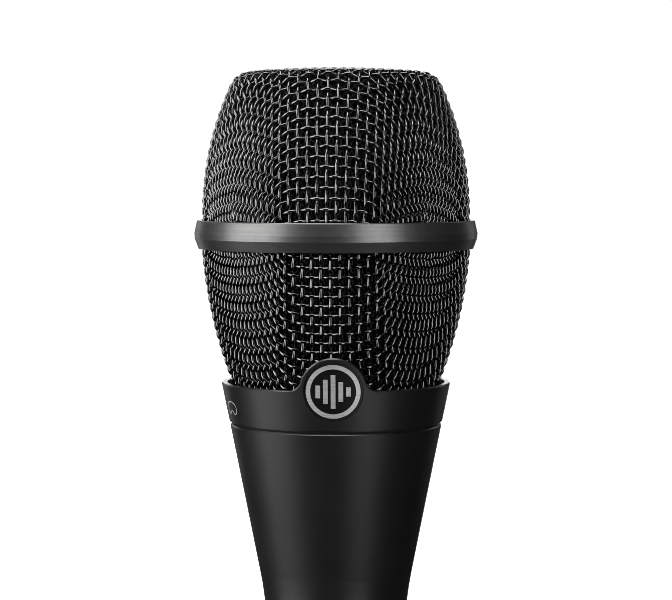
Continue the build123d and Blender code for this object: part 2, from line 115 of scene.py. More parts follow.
CAMERA_DISTANCE = 425.0
CAMERA_AZIMUTH = radians(1.4)
CAMERA_HEIGHT = 173.7
AIM_HEIGHT = 149.0
LENS = 128.8


# ---------------------------------------------------------------- sections of the grille
def arc(circle, start, end, count):
    """Points (distance from the axis, height) along an arc."""
    r, z, radius = circle
    return [(r + radius * cos(a), z + radius * sin(a)) for a in np.linspace(start, end, count)]


def meeting_point(one, other):
    """The outer crossing of two circles."""
    (r1, z1, a), (r2, z2, b) = one, other
    gap = hypot(r2 - r1, z2 - z1)
    along = (gap * gap + a * a - b * b) / (2 * gap)
    across = sqrt(a * a - along * along)
    return (
        r1 + (along * (r2 - r1) - across * (z2 - z1)) / gap,
        z1 + (along * (z2 - z1) + across * (r2 - r1)) / gap,
    )


def smaller(circle, by):
    return (circle[0], circle[1], circle[2] - by)


class Section:
    """Half section of a basket at some depth under its outer face, as even points from the axis outwards."""

    def __init__(self, corners, outward):
        corners = np.array(corners)
        lengths = np.concatenate([[0], np.cumsum(np.hypot(*np.diff(corners, axis=0).T))])
        self.along = np.linspace(0, lengths[-1], int(lengths[-1] / SECTION_STEP) + 1)
        self.points = np.stack([np.interp(self.along, lengths, corners[:, k]) for k in (0, 1)], -1)
        self.tangents = np.gradient(self.points, axis=0)
        self.tangents /= np.linalg.norm(self.tangents, axis=1)[:, None]
        self.normals = outward * np.stack([-self.tangents[:, 1], self.tangents[:, 0]], -1)

    def at(self, along, turn):
        r = np.interp(along, self.along, self.points[:, 0])
        z = np.interp(along, self.along, self.points[:, 1])
        return np.stack([r * np.cos(turn), r * np.sin(turn), z], -1)

    def nearest(self, places):
        r = np.hypot(places[:, 0], places[:, 1])
        across = r[:, None] - self.points[None, :, 0]
        up = places[:, 2][:, None] - self.points[None, :, 1]
        return r, np.argmin(across**2 + up**2, axis=1)

    def dropped(self, places):
        """The places moved onto the surface that the section sweeps round the axis."""
        r, k = self.nearest(places)
        point, tangent = self.points[k], self.tangents[k]
        slide = (r - point[:, 0]) * tangent[:, 0] + (places[:, 2] - point[:, 1]) * tangent[:, 1]
        foot = point + slide[:, None] * tangent
        scale = np.where(r > 1e-9, foot[:, 0] / np.maximum(r, 1e-9), 1)
        return np.stack([places[:, 0] * scale, places[:, 1] * scale, foot[:, 1]], -1)

    def normal_at(self, places):
        r, k = self.nearest(places)
        n = self.normals[k]
        r = np.maximum(r, 1e-9)
        return np.stack([n[:, 0] * places[:, 0] / r, n[:, 0] * places[:, 1] / r, n[:, 1]], -1)


def upper_section(depth, foot):
    """Crown, rounded corner and wall of the upper basket, down to a height."""
    wall, crown = smaller(UPPER_WALL, depth), smaller(CROWN, depth)
    radius = CORNER_RADIUS - depth if depth < CORNER_RADIUS - 0.8 else 0.8
    centre = meeting_point(smaller(wall, radius), smaller(crown, radius))
    crown_end = atan2(centre[1] - crown[1], centre[0] - crown[0])
    wall_start = atan2(centre[1] - wall[1], centre[0] - wall[0])
    wall_end = asin((foot - wall[1]) / wall[2])
    points = arc(crown, pi / 2, crown_end, 60)
    points += arc((*centre, radius), crown_end, wall_start, 40)[1:]
    return Section(points + arc(wall, wall_start, wall_end, 150)[1:], 1)


def lower_section(depth, top):
    """Floor, rounded corner and wall of the lower basket, up to a height."""
    wall = smaller(LOWER_WALL, depth)
    radius = CORNER_RADIUS - depth
    floor = BOWL_FLOOR + depth
    corner_z = floor + radius
    corner_r = wall[0] + sqrt((wall[2] - radius) ** 2 - (corner_z - wall[1]) ** 2)
    wall_start = atan2(corner_z - wall[1], corner_r - wall[0])
    wall_end = asin((top - wall[1]) / wall[2])
    points = [(0, floor), (corner_r, floor)]
    points += arc((corner_r, corner_z, radius), -pi / 2, wall_start, 40)[1:]
    return Section(points + arc(wall, wall_start, wall_end, 150)[1:], -1)


# ---------------------------------------------------------------- woven wire cloth
def laid_net(section, count, spacing):
    """A quarter of a cloth of inextensible threads laid on the section's surface from its pole.

    Two threads lie along the quarter's edges. Every other crossing is one spacing from the two before it.
    Returns (distance along the section, turn round the axis) for each crossing, or nan where none fits.
    """
    net = np.full((count, count, 2), np.nan)
    for turn, cells in ((0.0, net[:, 0]), (pi / 2, net[0])):
        cells[0] = (0.0, turn)
        for k in range(1, count):
            here = cells[k - 1, 0]
            near, far = here + 0.5 * spacing, here + 1.6 * spacing
            if far > section.along[-1]:
                break
            for _ in range(40):
                middle = (near + far) / 2
                if np.linalg.norm(section.at(middle, turn) - section.at(here, turn)) < spacing:
                    near = middle
                else:
                    far = middle
            cells[k] = (near, turn)
    net[0, 0] = (0, pi / 4)
    for diagonal in range(2, 2 * count - 1):
        cells = [(i, diagonal - i) for i in range(1, diagonal) if i < count and diagonal - i < count]
        cells = [
            (i, j) for i, j in cells if not np.isnan(net[[i - 1, i, i - 1], [j, j - 1, j - 1], 0]).any()
        ]
        if cells:
            i, j = np.array(cells).T
            place, fits = next_crossings(section, net[i - 1, j], net[i, j - 1], net[i - 1, j - 1], spacing)
            net[i[fits], j[fits]] = place[fits]
    return net


def next_crossings(section, a, b, c, spacing):
    """Newton's method for the surface's points one spacing from a and from b, on the side away from c."""
    at_a, at_b, at_c = (section.at(*p.T) for p in (a, b, c))
    guess = at_a + at_b - at_c
    place = np.stack([np.maximum(a[:, 0], b[:, 0]) + 0.3 * spacing, np.arctan2(guess[:, 1], guess[:, 0])], -1)

    def misses(place):
        p = section.at(place[:, 0], place[:, 1])
        return np.stack([((p - at_a) ** 2).sum(-1) - spacing**2, ((p - at_b) ** 2).sum(-1) - spacing**2], -1)

    step = 1e-5
    for _ in range(25):
        miss = misses(place)
        by_along = (misses(place + [step, 0]) - miss) / step
        by_turn = (misses(place + [0, step]) - miss) / step
        det = by_along[:, 0] * by_turn[:, 1] - by_turn[:, 0] * by_along[:, 1]
        det = np.where(abs(det) < 1e-9, 1e-9, det)
        d_along = (miss[:, 0] * by_turn[:, 1] - by_turn[:, 0] * miss[:, 1]) / det
        d_turn = (by_along[:, 0] * miss[:, 1] - miss[:, 0] * by_along[:, 1]) / det
        place = place - np.stack([np.clip(d_along, -0.4, 0.4), np.clip(d_turn, -0.08, 0.08)], -1)
    fits = (abs(misses(place)).max(-1) < 1e-3) & (place[:, 0] < section.along[-1]) & (place[:, 0] > 0)
    return place, fits


def drawn_cells(count, plain, closing, drawn, growth):
    """Length of the cell side that ends at each crossing (i, j), along i.

    Cells are plain over the form's middle. Towards the corners of the cloth, where two wires both run far from
    the middle, the sides close up. Down the middle of each wall the sides that run down it are drawn longer.
    """
    i, j = np.arange(count)[:, None], np.arange(count)[None, :]
    corner = np.maximum(0, np.minimum(i, j) - STIFF_WIRES)
    down = np.maximum(0, np.maximum(i, j) - CORNER_WIRES)
    stretched = drawn * np.minimum(down, 1) + growth * np.maximum(0, down - 1)
    return plain - closing * corner + np.where(i > j, stretched * np.exp(-corner / CORNER_SPREAD), 0)


def settled_net(section, net, sides, tightest, eased, steps):
    """Crossings as points in space, after the threads slide on each other.

    Sides close and stretch a little, as crimped wire does when drawn. No cell is sheared flatter than tightest,
    cells resist getting flatter than eased, and those near the middle lines resist any shear.
    """
    there = ~np.isnan(net[..., 0])
    points = np.zeros(there.shape + (3,))
    points[there] = section.at(net[there][:, 0], net[there][:, 1])
    every, head, tail = slice(None), slice(0, -1), slice(1, None)
    pole = points[0, 0].copy()
    inner = np.arange(len(net) - 1)
    stiff = SQUARE_PULL * np.exp(-((np.minimum(inner[:, None], inner[None, :]) / STIFF_WIRES) ** 2))
    along_i, along_j = ((head, every), (tail, every), sides[1:]), ((every, head), (every, tail), sides.T[:, 1:])

    def pull(one, other, shortest, longest, share, moves, hits, where=True):
        gap = points[other] - points[one]
        length = np.maximum(np.linalg.norm(gap, axis=-1), 1e-9)
        off = length - np.clip(length, shortest, longest)
        both = there[one] & there[other] & where
        move = np.where(both, off / length * 0.5 * share, 0)[..., None] * gap
        moves[one] += move
        moves[other] -= move
        hit = both & (abs(off) > 1e-6)
        hits[one] += hit
        hits[other] += hit

    for _ in range(steps):
        moves, hits = np.zeros_like(points), np.zeros(there.shape)
        for one, other, rest in (along_i, along_j):
            pull(one, other, rest * CLOSED, rest * STRETCHED, 1, moves, hits)
            pull(one, other, rest, rest, SIDE_PULL, moves, hits)
        pull((tail, head), (head, tail), tightest, UNLIMITED, 1, moves, hits)
        pull((tail, head), (head, tail), eased, UNLIMITED, EASED_PULL, moves, hits)
        falling = np.linalg.norm(points[tail, head] - points[head, tail], axis=-1)
        rising = np.linalg.norm(points[tail, tail] - points[head, head], axis=-1)
        square = (falling + rising) / 2
        whole = there[tail, head] & there[head, tail] & there[tail, tail] & there[head, head]
        pull((tail, head), (head, tail), square, square, stiff, moves, hits, whole)
        pull((tail, tail), (head, head), square, square, stiff, moves, hits, whole)
        points += moves / np.maximum(hits, 1)[..., None] * PUSH
        points[:, 0, 1] = 0
        points[0, :, 0] = 0
        points[0, 0] = pole
        points[there] = section.dropped(points[there])
    return points, there


def whole_net(points, there):
    """The quarter net mirrored to all four quarters."""
    count = len(there)
    signed = np.arange(1 - count, count)
    index = abs(signed)
    net = points[index[:, None], index[None, :]].copy()
    net[..., 0] *= np.sign(signed)[:, None]
    net[..., 1] *= np.sign(signed)[None, :]
    return net, there[index[:, None], index[None, :]]


def crimped_line(points, normals, sides, crimp, samples):
    """A wire's centreline through its crossings, passing over one and under the next."""
    before = np.concatenate([2 * points[:1] - points[1:2], points[:-2]])
    after = np.concatenate([points[2:], 2 * points[-1:] - points[-2:-1]])
    line, facing = [], []
    for t in np.arange(samples) / samples:
        p0, p1, p2, p3 = before, points[:-1], points[1:], after
        spot = 0.5 * (2 * p1 + (p2 - p0) * t + (2 * p0 - 5 * p1 + 4 * p2 - p3) * t * t
                      + (3 * p1 - p0 - 3 * p2 + p3) * t ** 3)
        normal = normals[:-1] * (1 - t) + normals[1:] * t
        normal /= np.linalg.norm(normal, axis=1)[:, None]
        line.append(spot + normal * (crimp * cos(pi * t) * sides[:-1])[:, None])
        facing.append(normal)
    line = np.stack(line, 1).reshape(-1, 3)
    facing = np.stack(facing, 1).reshape(-1, 3)
    line = np.concatenate([line, points[-1:] + normals[-1:] * crimp * sides[-1]])
    return line, np.concatenate([facing, normals[-1:]])


def cut_runs(line, facing, bottom, top):
    """The stretches of a centreline between two heights, ended exactly at them."""
    inside = (line[:, 2] >= bottom) & (line[:, 2] <= top)
    runs, k = [], 0
    while k < len(line):
        if not inside[k]:
            k += 1
            continue
        end = k
        while end + 1 < len(line) and inside[end + 1]:
            end += 1
        run, normals = [*line[k:end + 1]], [*facing[k:end + 1]]
        for inner, outer, first in ((k, k - 1, True), (end, end + 1, False)):
            if 0 <= outer < len(line):
                limit = bottom if line[outer, 2] < bottom else top
                share = (limit - line[inner, 2]) / (line[outer, 2] - line[inner, 2])
                tip = line[inner] + share * (line[outer] - line[inner])
                run.insert(0, tip) if first else run.append(tip)
                normals.insert(0, facing[inner]) if first else normals.append(facing[inner])
        if len(run) > 2:
            runs.append((np.array(run), np.array(normals)))
        k = end + 1
    return runs


def tubes(runs, radius, sides):
    """Vertices and faces of round wires along the runs, with closed ends."""
    angles = np.arange(sides) * 2 * pi / sides
    verts, faces, base = [], [], 0
    ring = np.arange(sides)
    for line, facing in runs:
        tangent = np.gradient(line, axis=0)
        tangent /= np.linalg.norm(tangent, axis=1)[:, None]
        up = facing - (facing * tangent).sum(1)[:, None] * tangent
        up /= np.linalg.norm(up, axis=1)[:, None]
        side = np.cross(tangent, up)
        round_ = np.cos(angles)[None, :, None] * up[:, None] + np.sin(angles)[None, :, None] * side[:, None]
        verts.append((line[:, None] + radius * round_).reshape(-1, 3))
        start = base + np.arange(len(line) - 1)[:, None] * sides
        quads = np.stack([start + ring, start + (ring + 1) % sides, start + sides + (ring + 1) % sides,
                          start + sides + ring], -1).reshape(-1, 4)
        faces += quads.tolist()
        faces.append((base + ring[::-1]).tolist())
        faces.append((base + (len(line) - 1) * sides + ring).tolist())
        base += len(line) * sides
    return np.concatenate(verts), faces


def tipped_net(section, net, there, tip):
    """The net slid over its surface with its front lifted, as when a cloth isn't quite centred on its form."""
    middle = np.array([0, 0, section.points[:, 1].mean()])
    turned = (net - middle) @ np.array(Euler((tip, 0, 0)).to_matrix())
    net = net.copy()
    net[there] = section.dropped((turned + middle)[there])
    return net


def cloth_pieces(name, section, spacing, cells, tightest, eased, turn, trim, wire_radius, sides, samples, steps,
                 tip=0.0):
    """The two families of wires of one basket, each as one mesh piece."""
    quarter = settled_net(section, laid_net(section, len(cells), spacing), cells, tightest, eased, steps)
    net, there = whole_net(*quarter)
    c, s = cos(turn), sin(turn)
    net = net @ np.array([[c, s, 0], [-s, c, 0], [0, 0, 1]])
    net = tipped_net(section, net, there, tip)
    normals = section.normal_at(net.reshape(-1, 3)).reshape(net.shape)
    count = len(there)
    index = np.arange(count)
    over = np.where((index[:, None] + index[None, :]) % 2 == 0, 1.0, -1.0)
    made = []
    for family in ("warp", "weft"):
        runs = []
        for k in range(count):
            along = np.flatnonzero(there[k])
            if len(along) < 3:
                continue
            line, facing = crimped_line(net[k, along], normals[k, along], over[k, along], wire_radius, samples)
            runs += cut_runs(line, facing, *trim)
        verts, faces = tubes(runs, wire_radius, sides)
        made.append(mesh_piece(f"{name}_{family}", verts, faces))
        net, normals, there, over = net.swapaxes(0, 1), normals.swapaxes(0, 1), there.T, -over.T
    return made


# ---------------------------------------------------------------- meshes
def mesh_piece(name, verts, faces, smooth=True):
    """A mesh object from points in millimetres."""
    mesh = bpy.data.meshes.new(name)
    mesh.from_pydata((np.asarray(verts) * MM).tolist(), [], faces)
    mesh.polygons.foreach_set("use_smooth", [smooth and len(f) <= 4 for f in faces])
    mesh.update()
    piece = bpy.data.objects.new(name, mesh)
    bpy.context.scene.collection.objects.link(piece)
    return piece


def place(piece, body, slot, finish, *nodes):
    """Dresses a piece, lets it ride on a body, and hides the CAD nodes it stands for."""
    piece.data.materials.append(finish)
    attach(piece, body)
    if nodes:
        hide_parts(*nodes)
    return piece


def foam_mesh(name, rings, closed_pole):
    """A foam shell from its closed section, rough like open-cell foam. Rings are (radius, height) points."""
    columns = FOAM_COLUMNS
    rings = np.array(rings)
    turn = np.arange(columns) * 2 * pi / columns
    verts = np.stack([rings[:, :1] * np.cos(turn), rings[:, :1] * np.sin(turn),
                      np.broadcast_to(rings[:, 1:], (len(rings), columns))], -1).reshape(-1, 3)
    rough = np.array([noise.noise(Vector(v) * 1.3) + 0.6 * noise.noise(Vector(v) * 3.1) for v in verts])
    centre = np.array([0, 0, verts[:, 2].mean()])
    away = verts - centre
    away /= np.maximum(np.linalg.norm(away, axis=1), 1e-6)[:, None]
    verts = verts - away * np.abs(rough)[:, None] * FOAM_ROUGHNESS
    faces = []
    last = len(rings) - 1 if closed_pole else len(rings)
    for k in range(last):
        a, b = k * columns, (k + 1) % len(rings) * columns
        faces += [(a + m, a + (m + 1) % columns, b + (m + 1) % columns, b + m) for m in range(columns)]
    if closed_pole:
        faces.append(list(range(columns))[::-1])
        faces.append([last * columns + m for m in range(columns)])
    return mesh_piece(name, verts, faces)


def even_points(section, from_along, to_along):
    """Section points between two distances along it, a foam step apart."""
    count = max(2, int(abs(to_along - from_along) / FOAM_STEP))
    r, z = section.points.T
    return [
        (np.interp(a, section.along, r), np.interp(a, section.along, z))
        for a in np.linspace(from_along, to_along, count)
    ]


# ---------------------------------------------------------------- materials
class Finish:
    """A procedural material being put together round one Principled shader."""

    def __init__(self, name, **values):
        self.material = bpy.data.materials.new(name)
        self.material.use_nodes = True
        self.tree = self.material.node_tree
        self.shader = self.tree.nodes["Principled BSDF"]
        spots = self.tree.nodes.new("ShaderNodeTexCoord")
        self.place, self.normal = spots.outputs["Object"], spots.outputs["Normal"]
        for key, value in values.items():
            self.shader.inputs[key.replace("_", " ")].default_value = value

    def node(self, kind, **inputs):
        node = self.tree.nodes.new(kind)
        for key, value in inputs.items():
            key, number = (key[:-4], int(key[-3:])) if key[-3:].isdigit() else (key, 0)
            socket = [socket for socket in node.inputs if socket.name == key.replace("_", " ")][number]
            if isinstance(value, bpy.types.NodeSocket):
                self.tree.links.new(value, socket)
            else:
                socket.default_value = value
        return node

    def grain(self, size, stretch=(1, 1, 1), detail=3.0, rough=0.5):
        """Noise whose features are about size millimetres, longer along an axis where stretch is over 1."""
        mapped = self.node("ShaderNodeMapping", Vector=self.place, Scale=[1 / s for s in stretch])
        return self.node("ShaderNodeTexNoise", Vector=mapped.outputs[0], Scale=1 / (size * MM), Detail=detail,
                         Roughness=rough).outputs["Fac"]

    def cells(self, size):
        return self.node("ShaderNodeTexVoronoi", Vector=self.place, Scale=1 / (size * MM)).outputs["Distance"]

    def ranged(self, value, bottom, top):
        """A 0 to 1 value spread over another range, from its middle third outwards."""
        return self.node("ShaderNodeMapRange", Value=value, From_Min=0.3, From_Max=0.7, To_Min=bottom,
                         To_Max=top).outputs["Result"]

    def colours(self, value, *stops):
        ramp = self.node("ShaderNodeValToRGB", Fac=value)
        elements = ramp.color_ramp.elements
        while len(elements) < len(stops):
            elements.new(0.5)
        for k, (at, colour) in enumerate(stops):
            elements[k].position = at
            elements[k].color = (*colour, 1)
        return ramp.outputs["Color"]

    def mixed(self, share, one, other):
        """One colour where share is 0 and the other where it is 1."""
        node = self.tree.nodes.new("ShaderNodeMix")
        node.data_type = "RGBA"
        factor, a, b = node.inputs[0], node.inputs[6], node.inputs[7]
        self.tree.links.new(share, factor)
        self.tree.links.new(one, a)
        b.default_value = other
        return node.outputs[2]

    def highlight_bevels(self):
        """1 on faces that lean about 45 degrees from the direction straight out of the microphone's axis, the
        mask for a painted highlight on chamfers.
        """
        flat = self.node("ShaderNodeVectorMath", Vector=self.place, Vector_001=(1, 1, 0))
        flat.operation = "MULTIPLY"
        out = self.node("ShaderNodeVectorMath", Vector=flat.outputs[0])
        out.operation = "NORMALIZE"
        facing = self.node("ShaderNodeVectorMath", Vector=self.normal, Vector_001=out.outputs[0])
        facing.operation = "DOT_PRODUCT"
        none, full = grey(0), grey(1)
        return self.colours(facing.outputs["Value"], (0.5, none), (0.55, full), (0.88, full), (0.93, none))

    def bump(self, height, depth, under=None):
        """Relief of about depth millimetres, over an earlier relief if one is given."""
        node = self.node("ShaderNodeBump", Height=height, Distance=depth * MM, Strength=1.0)
        if under is not None:
            self.tree.links.new(under, node.inputs["Normal"])
        return node.outputs["Normal"]

    def link(self, **sockets):
        for key, value in sockets.items():
            self.tree.links.new(value, self.shader.inputs[key.replace("_", " ")])
        return self.material


def grey(level, tint=0.0):
    """A grey, a little bluer where tint is over 0 and warmer where it is under 0."""
    return (level * (1 - tint), level, level * (1 + tint))


def shade(colour, factor):
    return tuple(min(1.0, c * factor) for c in colour)


def lacquered_wire():
    """Drawn steel wire under thin black lacquer: soft metallic glints, darker and lighter in random patches."""
    finish = Finish("lacquered_wire", Metallic=1.0)
    tone = finish.colours(finish.grain(1.7), (0.3, grey(0.16, 0.01)), (0.7, grey(0.23, 0.01)))
    skin = finish.bump(finish.grain(0.12), 0.0015)
    return finish.link(Base_Color=tone, Roughness=finish.ranged(finish.grain(0.6), 0.1, 0.15), Normal=skin)


def fine_screen():
    finish = Finish("fine_screen", Metallic=0.9)
    tone = finish.colours(finish.grain(0.9), (0.3, grey(0.028)), (0.7, grey(0.05)))
    return finish.link(Base_Color=tone, Roughness=finish.ranged(finish.grain(0.3), 0.25, 0.35),
                       Normal=finish.bump(finish.grain(0.08), 0.004))


def open_cell_foam():
    finish = Finish("open_cell_foam", Roughness=0.95, Specular_IOR_Level=0.15)
    pores = finish.cells(0.45)
    # Painted shade: the foam is darker in the pits of its cells, where the relief sinks.
    tone = finish.colours(pores, (0.1, grey(0.002)), (0.6, grey(0.009)))
    relief = finish.bump(pores, 0.25)
    return finish.link(Base_Color=tone, Normal=finish.bump(finish.cells(0.2), 0.08, relief))


def satin_paint(name, colour, rough, level, relief=0.003, edge_highlight=0.0):
    """Sprayed satin paint: faint clouding, fine grain and a trace of orange peel.

    Where the edge level is over 0, faces that lean about 45 degrees are painted a lighter, smoother metallic
    colour: a painted highlight for bright chamfer lines.
    """
    finish = Finish(name, Specular_IOR_Level=level)
    cloud = finish.grain(9.0, detail=4.0)
    tone = finish.colours(cloud, (0.3, shade(colour, 0.86)), (0.7, shade(colour, 1.14)))
    gloss = finish.ranged(finish.grain(2.2), rough - 0.03, rough + 0.03)
    if edge_highlight:
        # Painted highlight: faces leaning about 45 degrees get a lighter metallic colour, broken up by a grain.
        highlight_bevels = finish.highlight_bevels()
        highlight_grain = finish.ranged(finish.grain(1.5), 0.75, 1.0)
        painted_highlight = finish.node("ShaderNodeMath", Value=highlight_bevels, Value_001=highlight_grain)
        painted_highlight.operation = "MULTIPLY"
        painted_highlight = painted_highlight.outputs[0]
        tone = finish.mixed(painted_highlight, tone, (*grey(edge_highlight), 1))
        finish.link(Metallic=painted_highlight)
        gloss = finish.node("ShaderNodeMapRange", Value=highlight_bevels, To_Min=rough, To_Max=0.3).outputs["Result"]
    peel = finish.bump(finish.grain(0.7), relief)
    return finish.link(Base_Color=tone, Roughness=gloss, Normal=finish.bump(finish.grain(0.13), relief, peel))


def charcoal_band():
    """Machined ring in satin charcoal: metallic, with fine turning lines round it."""
    finish = Finish("charcoal_band", Metallic=0.85, Specular_IOR_Level=0.4)
    lines = finish.grain(2.5, stretch=(4, 4, 0.04))
    tone = finish.colours(lines, (0.3, grey(0.15, -0.01)), (0.7, grey(0.19, -0.01)))
    return finish.link(Base_Color=tone, Roughness=finish.ranged(finish.grain(1.2), 0.32, 0.36),
                       Normal=finish.bump(finish.grain(0.15), 0.003, finish.bump(lines, 0.002)))


def brushed_metal(name, colour, rough, stretch, size=0.25, metallic=1.0):
    """Bare or clear-lacquered metal with fine brush lines along the stretched axis."""
    finish = Finish(name, Metallic=metallic)
    lines = finish.grain(size, stretch=stretch, detail=5.0)
    tone = finish.colours(lines, (0.3, shade(colour, 0.84)), (0.7, shade(colour, 1.1)))
    return finish.link(Base_Color=tone, Roughness=finish.ranged(lines, rough - 0.06, rough + 0.06),
                       Normal=finish.bump(lines, 0.004))


def plated_metal(name, colour, rough):
    finish = Finish(name, Metallic=1.0)
    tone = finish.colours(finish.grain(3.0), (0.3, shade(colour, 0.9)), (0.7, shade(colour, 1.08)))
    return finish.link(Base_Color=tone, Roughness=finish.ranged(finish.grain(0.8), rough - 0.04, rough + 0.05),
                       Normal=finish.bump(finish.grain(0.3), 0.003))


def moulded_plastic(name, colour, rough, relief=0.01):
    """Moulded plastic with a fine spark-eroded texture."""
    finish = Finish(name, Specular_IOR_Level=0.45)
    tone = finish.colours(finish.grain(4.0), (0.3, shade(colour, 0.88)), (0.7, shade(colour, 1.12)))
    return finish.link(Base_Color=tone, Roughness=finish.ranged(finish.grain(1.0), rough - 0.05, rough + 0.05),
                       Normal=finish.bump(finish.cells(0.18), relief))


def soft_rubber(name, colour):
    finish = Finish(name, Specular_IOR_Level=0.3)
    tone = finish.colours(finish.grain(2.0), (0.3, shade(colour, 0.8)), (0.7, shade(colour, 1.2)))
    return finish.link(Base_Color=tone, Roughness=finish.ranged(finish.grain(0.7), 0.62, 0.78),
                       Normal=finish.bump(finish.grain(0.2, detail=5.0), 0.015))


def wound_copper():
    """Enamelled wire wound in level layers, with painted shade: dark brown in the grooves between turns."""
    finish = Finish("wound_copper", Metallic=0.9, Coat_Weight=0.5, Coat_Roughness=0.2)
    wave = finish.node("ShaderNodeTexWave", Vector=finish.place, Scale=500.0, Distortion=0.6, Detail=1.0,
                       Detail_Scale=2.0)
    wave.bands_direction = "Z"
    turns = wave.outputs["Fac"]
    # Painted shade: the colour darkens to brown where the turns' relief sinks between wires.
    tone = finish.colours(turns, (0.1, (0.25, 0.09, 0.035)), (0.7, (0.72, 0.33, 0.14)))
    return finish.link(Base_Color=tone, Roughness=finish.ranged(finish.grain(0.5), 0.25, 0.4),
                       Normal=finish.bump(turns, 0.06))


def stacked_sheets():
    """Edges of lacquered laminations."""
    finish = Finish("stacked_sheets", Metallic=0.9)
    wave = finish.node("ShaderNodeTexWave", Vector=finish.place, Scale=900.0, Distortion=0.3, Detail=1.0)
    wave.bands_direction = "Y"
    sheets = wave.outputs["Fac"]
    tone = finish.colours(sheets, (0.05, grey(0.08)), (0.5, grey(0.3, 0.02)), (0.9, grey(0.36, 0.02)))
    return finish.link(Base_Color=tone, Roughness=finish.ranged(finish.grain(0.4), 0.35, 0.5),
                       Normal=finish.bump(sheets, 0.02))


def pressed_felt():
    finish = Finish("pressed_felt", Roughness=0.95, Sheen_Weight=0.4, Sheen_Roughness=0.5)
    hair = finish.grain(0.25, detail=8.0, rough=0.8)
    tone = finish.colours(hair, (0.3, (0.33, 0.32, 0.3)), (0.7, (0.6, 0.58, 0.54)))
    return finish.link(Base_Color=tone, Normal=finish.bump(hair, 0.1))


def solder_mask():
    """Green board: lacquer over copper tracks that show as slightly lighter lines."""
    finish = Finish("solder_mask", Coat_Weight=0.4, Coat_Roughness=0.15)
    weave = finish.grain(0.5, stretch=(6, 0.6, 1))
    tone = finish.colours(weave, (0.35, (0.012, 0.085, 0.035)), (0.65, (0.022, 0.14, 0.06)))
    return finish.link(Base_Color=tone, Roughness=finish.ranged(weave, 0.3, 0.42),
                       Normal=finish.bump(weave, 0.01))


def amber_film():
    finish = Finish("amber_film", Transmission_Weight=0.5, Coat_Weight=0.3)
    tone = finish.colours(finish.grain(2.0), (0.3, (0.72, 0.6, 0.32)), (0.7, (0.85, 0.76, 0.5)))
    return finish.link(Base_Color=tone, Roughness=finish.ranged(finish.grain(0.8), 0.12, 0.22),
                       Normal=finish.bump(finish.grain(0.9), 0.01))


BLACK_PAINT = grey(0.012, 0.02)

FINISHES = {
    "wire": lacquered_wire,
    "fine_screen": fine_screen,
    "foam": open_cell_foam,
    "band": charcoal_band,
    # The body paint carries a painted highlight on its chamfers, at the edge level given here.
    "body_paint": lambda: satin_paint("body_paint", BLACK_PAINT, 0.37, 0.62, edge_highlight=0.12),
    "badge": lambda: satin_paint("badge_lacquer", grey(0.006), 0.4, 0.3),
    "emblem": lambda: brushed_metal("emblem_metal", grey(0.86), 0.42, (10, 1, 0.6), metallic=0.55),
    "rubber": lambda: soft_rubber("rubber", grey(0.018)),
    "plastic": lambda: moulded_plastic("moulded_plastic", grey(0.022), 0.5),
    "steel": lambda: brushed_metal("satin_steel", grey(0.52), 0.34, (6, 6, 0.5)),
    "magnet": lambda: plated_metal("nickel", (0.6, 0.57, 0.53), 0.22),
    "lamination": stacked_sheets,
    "copper": wound_copper,
    "film": amber_film,
    "felt": pressed_felt,
    "board": solder_mask,
    "ceramic": lambda: moulded_plastic("ceramic", (0.5, 0.4, 0.26), 0.35),
    "tin": lambda: plated_metal("tin", (0.72, 0.71, 0.69), 0.3),
    "gold": lambda: plated_metal("gold", (0.82, 0.58, 0.22), 0.24),
    "red_wire": lambda: soft_rubber("red_insulation", (0.36, 0.02, 0.015)),
    "white_wire": lambda: soft_rubber("white_insulation", (0.6, 0.6, 0.57)),
    "insulator": lambda: moulded_plastic("glass_filled_plastic", grey(0.02), 0.55, 0.02),
}
MATERIALS = {slot: make() for slot, make in FINISHES.items()}


def dress_cad_nodes():
    """Gives every CAD node the material of its slot."""
    for part in frame["record"]["subparts"]:
        node = frame["nodes"][part["node"]]
        node.data.materials.clear()
        node.data.materials.append(MATERIALS[part["material_slot"]])


# ---------------------------------------------------------------- pieces
def build_grille():
    """Woven baskets in place of the CAD shells."""
    wire = dict(tightest=0.95, eased=1.35, wire_radius=WIRE_RADIUS, sides=8, samples=4, steps=400)
    upper = cloth_pieces(
        "upper_mesh", upper_section(CLOTH_DEPTH, 145.0), spacing=1.65,
        cells=drawn_cells(34, plain=1.6, closing=0.018, drawn=0.3, growth=0.04),
        turn=radians(-2.6), tip=radians(1.9), trim=(low("upper_mesh"), OPEN_TOP), **wire,
    )
    lower = cloth_pieces(
        "lower_mesh", lower_section(CLOTH_DEPTH, 175.0), spacing=1.62,
        cells=drawn_cells(34, plain=1.62, closing=0.012, drawn=0, growth=0),
        turn=radians(-1.0), trim=(low("lower_mesh"), high("lower_mesh")), **wire,
    )
    for piece in upper:
        place(piece, "grille", "wire", MATERIALS["wire"], "upper_mesh")
    for piece in lower:
        place(piece, "grille", "wire", MATERIALS["wire"], "lower_mesh")


def build_screens():
    """Finer screens inside the baskets, woven on the bias."""
    wire = dict(tightest=0.6, eased=0.6, wire_radius=FINE_WIRE_RADIUS, sides=6, samples=3, steps=120)
    upper = cloth_pieces(
        "inner_screen_upper", upper_section(SCREEN_DEPTH, 156.0), spacing=FINE_SPACING,
        cells=drawn_cells(44, plain=FINE_SPACING, closing=0, drawn=0, growth=0),
        turn=radians(45), trim=(low("inner_screen_upper"), OPEN_TOP), **wire,
    )
    lower = cloth_pieces(
        "inner_screen_lower", lower_section(SCREEN_DEPTH, 166.0), spacing=FINE_SPACING,
        cells=drawn_cells(48, plain=FINE_SPACING, closing=0, drawn=0, growth=0),
        turn=radians(42), trim=(low("inner_screen_lower"), high("inner_screen_lower")), **wire,
    )
    for piece in upper:
        place(piece, "grille", "fine_screen", MATERIALS["fine_screen"], "inner_screen_upper")
    for piece in lower:
        place(piece, "grille", "fine_screen", MATERIALS["fine_screen"], "inner_screen_lower")


